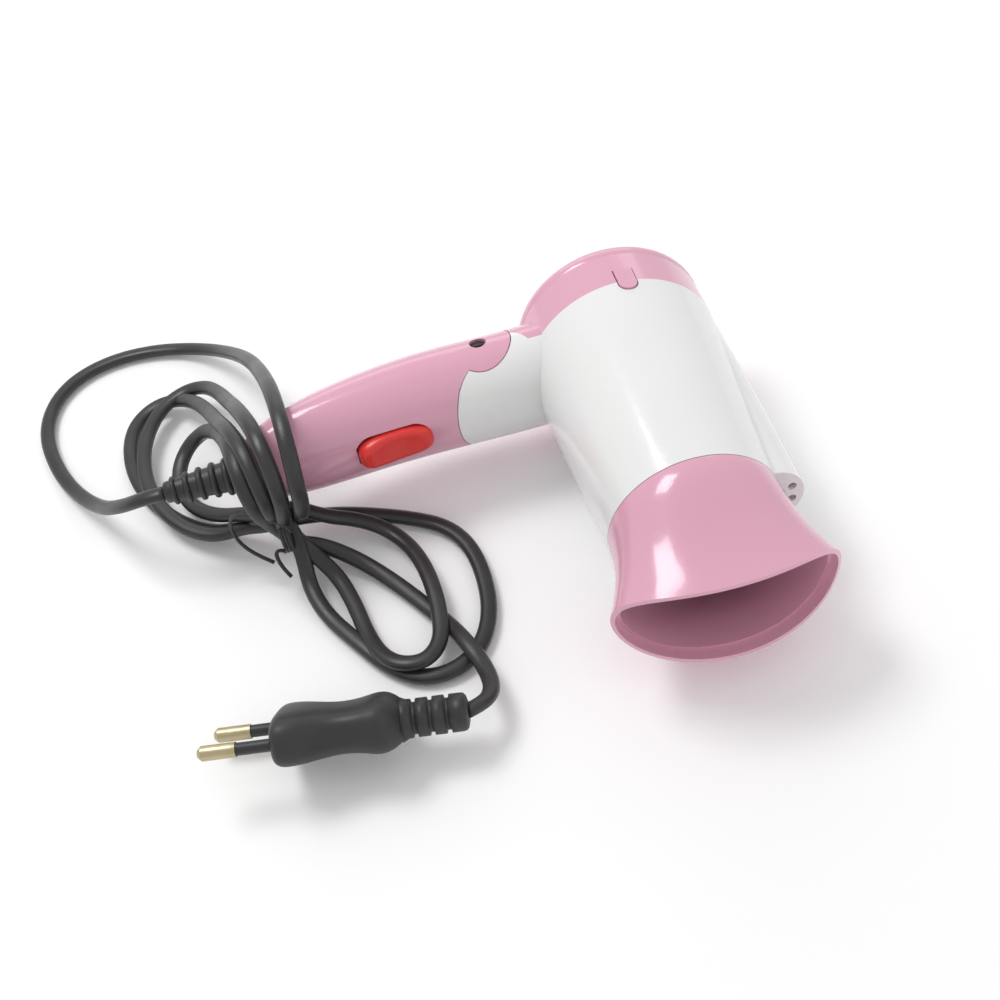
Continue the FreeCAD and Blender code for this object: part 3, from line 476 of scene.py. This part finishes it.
def growGrille(name, inputs, paint):
    # rings and spokes on a shallow dome round the Y axis
    grow = Grower(name, inputs)
    index = grow.add("GeometryNodeInputIndex", {}, {})
    rings = grow.add("GeometryNodeMeshLine", {}, {"Count": grow["Rings"], "Offset": (0.0, 0.0, 0.0)})
    size = grow.sums("ADD", grow["First Radius"], grow.sums("MULTIPLY", index, grow["Ring Pitch"]))
    drop = grow.sums("MULTIPLY", grow.sums("MULTIPLY", size, size), grow["Sink"])
    along = grow.sums("SUBTRACT", grow["Top"], drop)
    seats = grow.add("GeometryNodeSetPosition", {}, {"Geometry": rings,
                                                     "Position": grow.vector(0.0, along, 0.0)})
    circle = grow.add("GeometryNodeCurvePrimitiveCircle", {}, {"Resolution": 72, "Radius": 1.0})
    upright = grow.add("GeometryNodeTransform", {}, {"Geometry": circle, "Rotation": (math.pi / 2, 0.0, 0.0)})
    hoops = grow.add("GeometryNodeInstanceOnPoints", {}, {"Points": seats, "Instance": upright,
                                                          "Scale": grow.vector(size, size, size)})
    wire = grow.add("GeometryNodeCurvePrimitiveCircle", {}, {"Resolution": 8, "Radius": grow["Wire"]})
    loose = grow.add("GeometryNodeRealizeInstances", {}, {"Geometry": hoops})
    ringMesh = grow.add("GeometryNodeCurveToMesh", {}, {"Curve": loose, "Profile Curve": wire})
    fall = grow.sums("MULTIPLY", grow.sums("MULTIPLY", grow["Rim"], grow["Rim"]), grow["Sink"])
    edge = grow.sums("SUBTRACT", grow["Top"], fall)
    arch = grow.add("GeometryNodeCurveQuadraticBezier", {}, {
        "Resolution": 12, "Start": grow.vector(0.0, grow["Top"], 0.0),
        "Middle": grow.vector(grow.sums("MULTIPLY", grow["Rim"], 0.5), grow["Top"], 0.0),
        "End": grow.vector(grow["Rim"], edge, 0.0)})
    rod = grow.add("GeometryNodeCurvePrimitiveCircle", {}, {"Resolution": 8, "Radius": grow["Spoke Wire"]})
    spoke = grow.add("GeometryNodeCurveToMesh", {}, {"Curve": arch, "Profile Curve": rod, "Fill Caps": True})
    roots = grow.add("GeometryNodeMeshLine", {}, {"Count": grow["Spokes"], "Offset": (0.0, 0.0, 0.0)})
    angle = grow.sums("DIVIDE", grow.sums("MULTIPLY", index, 2 * math.pi), grow["Spokes"])
    fan = grow.add("GeometryNodeInstanceOnPoints", {}, {"Points": roots, "Instance": spoke,
                                                        "Rotation": grow.vector(0.0, angle, 0.0)})
    ball = grow.add("GeometryNodeMeshUVSphere", {}, {"Segments": 24, "Rings": 12, "Radius": grow["Hub"]})
    hub = grow.add("GeometryNodeTransform", {}, {"Geometry": ball, "Scale": (1.0, 0.45, 1.0),
                                                 "Translation": grow.vector(0.0, grow["Top"], 0.0)})
    rimLine = grow.add("GeometryNodeCurvePrimitiveCircle", {}, {"Resolution": 96, "Radius": grow["Rim"]})
    rimSection = grow.add("GeometryNodeCurvePrimitiveQuadrilateral", {}, {"Width": grow["Rim Width"],
                                                                          "Height": grow["Rim Height"]})
    rimMesh = grow.add("GeometryNodeCurveToMesh", {}, {"Curve": rimLine, "Profile Curve": rimSection})
    rim = grow.add("GeometryNodeTransform", {}, {"Geometry": rimMesh, "Rotation": (math.pi / 2, 0.0, 0.0),
                                                 "Translation": grow.vector(0.0, edge, 0.0)})
    whole = grow.add("GeometryNodeJoinGeometry", {}, {0: [ringMesh, fan, hub, rim]})
    placed = grow.add("GeometryNodeTransform", {}, {"Geometry": whole,
                                                    "Translation": tuple(spot(0, 0, axisHeight))})
    return grow.mesh(name, placed, paint)


makeCamera(camera)
makeStudio(studio)
print("camera and studio set")

paints = {
    "white": glossPlastic("shellWhite", (0.79, 0.79, 0.785), (0.75, 0.755, 0.75), 0.15, 0.35),
    "pink": glossPlastic("coverPink", (0.70, 0.362, 0.475), (0.675, 0.338, 0.452), 0.16, 0.35),
    "red": glossPlastic("switchRed", (0.72, 0.034, 0.028), (0.66, 0.028, 0.024), 0.26),
    "black": rubberSkin("rubberBlack", (0.018, 0.018, 0.019), (0.032, 0.032, 0.033), 0.42),
    "plugBlack": rubberSkin("plugVinyl", (0.02, 0.02, 0.021), (0.034, 0.034, 0.035), 0.45),
    "cord": rubberSkin("cordVinyl", (0.018, 0.018, 0.019), (0.032, 0.032, 0.033), 0.34),
    "grille": mattePlastic("grilleDark", (0.03, 0.03, 0.032), (0.045, 0.045, 0.047), 0.5),
    "steel": metalSkin("screwSteel", (0.6, 0.6, 0.62), (0.42, 0.42, 0.44), 0.28),
    # the hinge screw painted near black: painted shade of the dark pivot hole it sits in
    "darkSteel": metalSkin("screwPaintedRecessShade", (0.09, 0.09, 0.092), (0.05, 0.05, 0.05), 0.4),
    "brass": metalSkin("pinBrass", (0.5, 0.43, 0.27), (0.38, 0.33, 0.21), 0.3, (1.0, 1.0, 6.0)),
    "mica": mattePlastic("micaBoard", (0.5, 0.45, 0.32), (0.38, 0.34, 0.24), 0.5),
    "coil": metalSkin("heaterWire", (0.4, 0.37, 0.33), (0.25, 0.22, 0.2), 0.4),
    "motor": metalSkin("motorCan", (0.5, 0.5, 0.52), (0.4, 0.4, 0.41), 0.3),
    "inner": mattePlastic("innerPlastic", (0.12, 0.125, 0.13), (0.09, 0.09, 0.095), 0.55),
    "sleeve": rubberSkin("wireSleeve", (0.35, 0.03, 0.03), (0.25, 0.02, 0.02), 0.4),
    "screen": screenMesh("lintScreen", (0.35, 0.35, 0.36), 0.0011),
}
nodePaints = {
    "body_shell": "white", "rear_cover": "pink", "cover_clips": "pink", "intake_grille": "grille",
    "lint_screen": "screen", "outlet_grille": "grille", "heater_sleeve": "mica", "mica_board_a": "mica",
    "mica_board_b": "mica", "heater_coil": "coil", "thermostat": "steel", "thermal_fuse": "steel",
    "motor_mount": "inner", "motor": "motor", "rectifier_board": "inner", "diodes": "grille",
    "neck_leads": "sleeve", "motor_shaft": "steel", "fan": "inner", "nozzle": "pink", "handle_upper": "pink",
    "handle_lower": "pink", "handle_screws": "steel", "hinge_screws": "darkSteel", "switch_rocker": "red",
    "switch_body": "grille", "handle_leads": "sleeve", "strain_relief": "black", "inner_cord": "cord",
    "cord_clamp": "inner", "clamp_screw": "steel", "cord_tie": "black", "plug_body": "black",
    "plug_pins": "brass", "plug_sleeves": "black"}
for node, paint in nodePaints.items():
    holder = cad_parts[node]
    holder.data.materials.clear()
    holder.data.materials.append(paints[paint])
print("paints ready")

cordLine = smoothLine("cordRoute", [spot(*p) for p in cordRoute()], cord["fineness"])
cordPiece = flatTube("mains_cord", cordLine, cord["width"], cord["thickness"], cord["sides"],
                     paints["cord"])
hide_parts("cord_lead", "cord_hank", "cord_tail")
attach(cordPiece, "handle")
print("cord", round(lineLength(cordLine), 3), "m")


def tiePoints():
    x, y, z = tie["middle"]
    steps = tie["steps"]
    wound = []
    for i in range(tie["turns"] * steps):
        turn = 2 * math.pi * i / steps + tie["startAngle"]
        wound.append((x + (i / steps - tie["turns"] / 2) * tie["spacing"] + tie["shift"][0],
                      y + tie["shift"][1] + tie["halfWide"] * math.cos(turn),
                      z + tie["halfHigh"] * math.sin(turn)))
    shortEnd = [(x + dx, y + dy, z + dz) for dx, dy, dz in tie["shortEnd"]]
    longEnd = [(x + dx, y + dy, z + dz) for dx, dy, dz in tie["longEnd"]]
    return shortEnd + wound + longEnd


tieLine = smoothLine("tieRoute", [spot(*p) for p in tiePoints()], tie["fineness"])
tiePiece = flatTube("wire_tie", tieLine, tie["wire"], tie["wire"] * 0.8, 8, paints["black"])
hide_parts("cord_tie")
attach(tiePiece, "handle")
print("tie wound")


# the plug's moulded body as stations of distance along it, half width and half thickness
plugSections = [
    (16.6, 4.6, 4.4), (17.4, 5.9, 5.3), (19.0, 8.6, 6.3), (21.0, 10.6, 7.1), (23.4, 11.1, 7.3),
    (25.6, 10.6, 6.9), (28.0, 9.9, 6.4), (30.0, 9.6, 6.2), (32.0, 9.5, 6.1), (34.0, 9.55, 6.1),
    (36.0, 9.8, 6.25), (38.0, 10.3, 6.45), (40.5, 11.4, 6.75), (43.0, 12.6, 7.0), (45.5, 13.3, 7.1),
    (47.6, 13.5, 7.1), (49.0, 13.2, 6.8), (50.0, 12.4, 6.1), (50.45, 11.2, 5.0), (50.5, 8.0, 3.4)]
plug = {"start": (-72.0, -97.8, 13.6), "yaw": 170.6, "roll": 43.0, "squareness": 3.2,
        "grip": (27.0, 39.0), "gripCrest": 28.0, "gripDepth": 0.25, "slots": (5.2, 9.6, 14.0)}


def plugTurn():
    return (Matrix.Translation(spot(*plug["start"])) @ Matrix.Rotation(math.radians(plug["yaw"]), 4, "Z")
            @ Matrix.Rotation(math.radians(plug["roll"]), 4, "X"))


def squareRing(x, wide, thick, power, sides):
    ring = []
    for j in range(sides):
        turn = 2 * math.pi * j / sides
        c, s = math.cos(turn), math.sin(turn)
        ring.append(Vector((x, wide * math.copysign(abs(c) ** (2 / power), c),
                            thick * math.copysign(abs(s) ** (2 / power), s))) * 0.001)
    return ring


def makePlugBody():
    turn = plugTurn()
    low, high = plug["grip"]
    rows = []
    for x, wide, thick in plugSections:
        groove = plug["gripDepth"] * math.cos((x - plug["gripCrest"]) * math.pi) if low < x < high else 0.0
        ring = squareRing(x, wide + groove, thick, plug["squareness"], 48)
        rows.append([turn @ p for p in ring])
    made = meshPiece("plug_moulding", *sweep(rows), paints["plugBlack"])
    facesOut(made)
    made.modifiers.new("soften", "SUBSURF").levels = 1
    made.modifiers["soften"].render_levels = 1
    return made


def makeBoot(name, sections, turn, paint, sides=36):
    rows = [[turn @ p for p in squareRing(x, r, r, 2.0, sides)] for x, r in sections]
    made = meshPiece(name, *sweep(rows), paint)
    facesOut(made)
    return made


plugBody = makePlugBody()
bootSections = [(-0.3, 2.8), (0.1, 4.2), (0.7, 4.9), (1.4, 5.05)]  # distance along it and radius
for slot in plug["slots"]:  # grooves cut round the boot, where a real boot flexes
    bootSections += [(slot - 0.75, 5.1), (slot - 0.6, 4.2), (slot + 0.6, 4.2), (slot + 0.75, 5.1)]
bootSections += [(16.0, 5.2), (17.6, 6.0)]
plugBoot = makeBoot("plug_boot", bootSections, plugTurn(), paints["plugBlack"])
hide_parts("plug_body")
for piece in (plugBody, plugBoot):
    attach(piece, "handle")
print("plug moulded")

relief = {"start": (-112.6, -6.9, axisHeight), "sections": [
    (-0.2, 3.9), (0.0, 4.1), (3.3, 4.1), (3.5, 4.9), (5.0, 4.95), (12.0, 4.45), (20.0, 3.8),
    (26.0, 3.35), (28.2, 3.15), (28.5, 2.7)]}
# the ribs in metres, with the wire as a share of each ring's radius
ribs = {"Count": 6, "Pitch": -0.0040, "Wire": 0.24, "First Radius": 0.0049, "Growth": -0.00029,
        "Place": tuple(spot(-118.2, -6.9, axisHeight))}
reliefTurn = Matrix.Translation(spot(*relief["start"])) @ Matrix.Rotation(math.pi, 4, "Z")
reliefBody = makeBoot("relief_sleeve", relief["sections"], reliefTurn, paints["black"])
reliefRibs = growRibs("relief_ribs", ribs, paints["black"])
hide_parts("strain_relief")
for piece in (reliefBody, reliefRibs):
    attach(piece, "handle")
print("strain relief made")

rocker = {"middle": (-73.0, -8.0), "halfLength": 11.3, "halfWidth": 5.2, "base": -2.2, "side": -4.3,
          "crown": 1.5, "ends": 2.3, "tilt": 7.0, "squareness": 3.0}


def makeRocker():
    turn = (Matrix.Translation(spot(*rocker["middle"], axisHeight))
            @ Matrix.Rotation(math.radians(rocker["tilt"]), 4, "Z"))
    rows = []
    for share in (0.0, 0.5, 0.9, 0.985, 1.0, 1.0, 1.0, 0.985, 0.95, 0.9, 0.82, 0.7, 0.55, 0.4, 0.25, 0.1):
        ring = []
        under = len(rows) < 5
        for j in range(64):
            angle = 2 * math.pi * j / 64
            c, s = math.cos(angle), math.sin(angle)
            x = rocker["halfLength"] * share * math.copysign(abs(c) ** (2 / rocker["squareness"]), c)
            z = rocker["halfWidth"] * share * math.copysign(abs(s) ** (2 / rocker["squareness"]), s)
            dome = max(0.0, 1.0 - share ** 7) ** 0.5
            rise = rocker["crown"] + rocker["ends"] * (x / rocker["halfLength"]) ** 2
            y = rocker["base"] if under else rocker["side"] - rise * dome
            if len(rows) == 5:
                y = rocker["base"] - 0.5
            ring.append(turn @ (Vector((x, y, z)) * 0.001))
        rows.append(ring)
    made = meshPiece("rocker_cap", *sweep(rows), paints["red"])
    facesOut(made)
    return made


rockerPiece = makeRocker()
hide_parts("switch_rocker")
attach(rockerPiece, "rocker")
print("rocker made")

grillePiece = growGrille("intake_guard", intake, paints["grille"])
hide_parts("intake_grille")
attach(grillePiece, "barrel")
print("grille grown")
